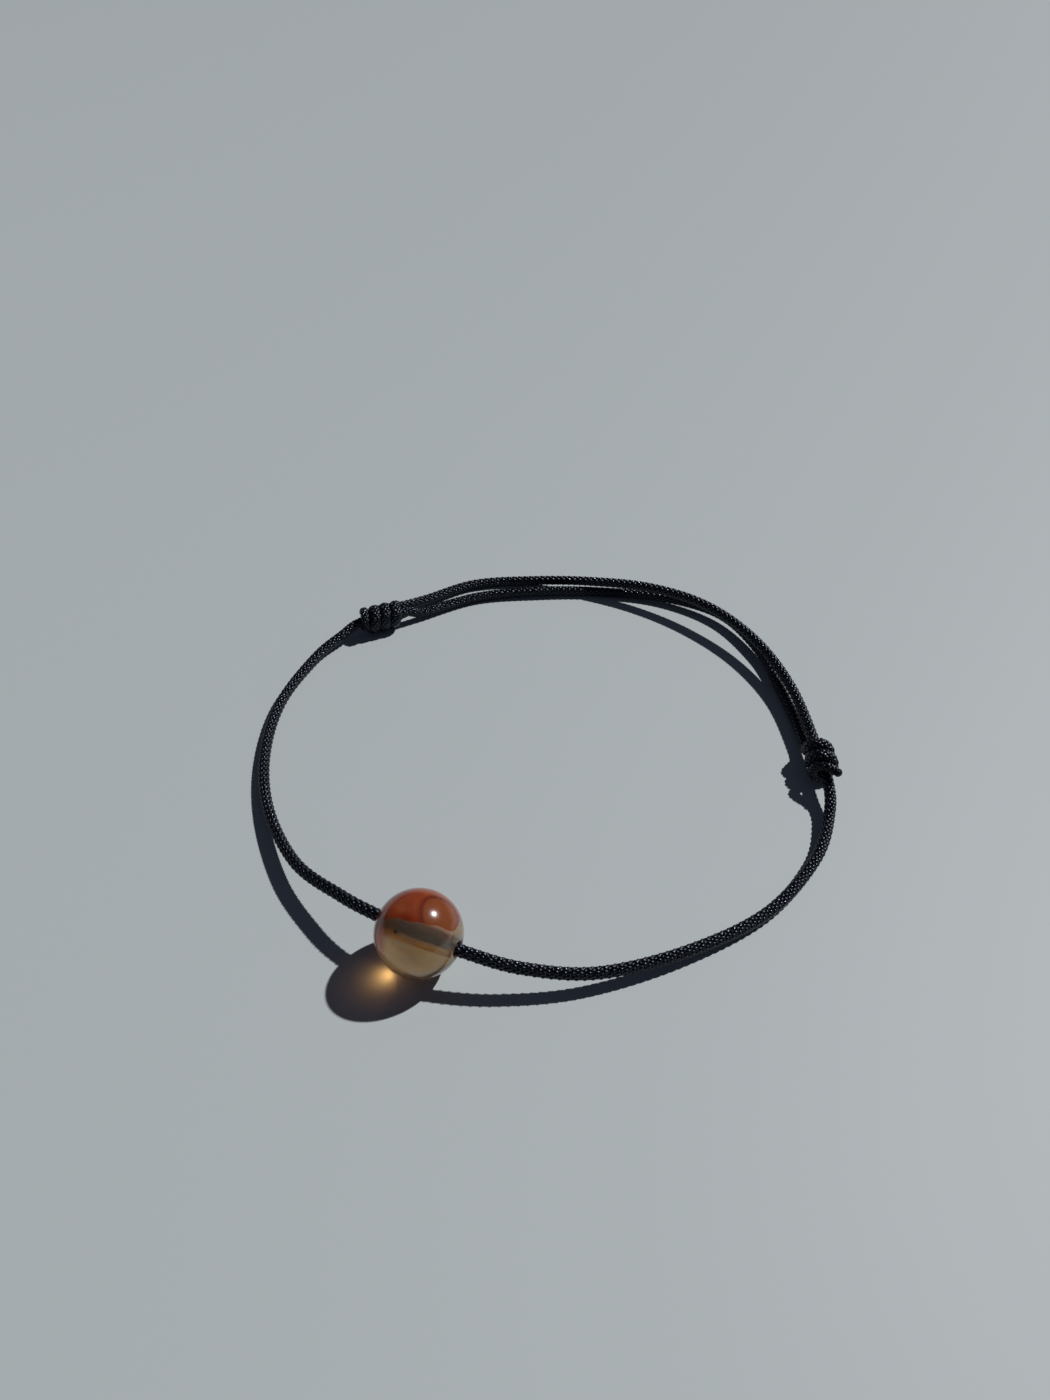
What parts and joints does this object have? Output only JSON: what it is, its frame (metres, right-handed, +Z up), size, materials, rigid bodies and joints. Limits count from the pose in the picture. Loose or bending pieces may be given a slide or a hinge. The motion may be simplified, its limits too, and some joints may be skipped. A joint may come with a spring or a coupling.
{
  "type": "cord bracelet",
  "caption": "Adjustable bracelet of thin black braided cord with a round agate bead and two wrapped sliding knots, lying open on a table.",
  "frame": {"origin": "on the table, under the middle of the bracelet's outline", "axes": "+Z is up, the bead is at the front towards -Y, +X is to the right as seen from the front, the knots are at the back left and at the right"},
  "size_m": [0.0622, 0.0627, 0.008],
  "materials": {
    "agate": "polished banded agate, orange red over grey beige, slightly translucent",
    "black_cord": "tight satin braid of black nylon yarn"
  },
  "bodies": {
    "root": {"bead": "agate", "cord": "black_cord", "knot_left": "black_cord", "knot_right": "black_cord"}
  },
  "joints": []
}
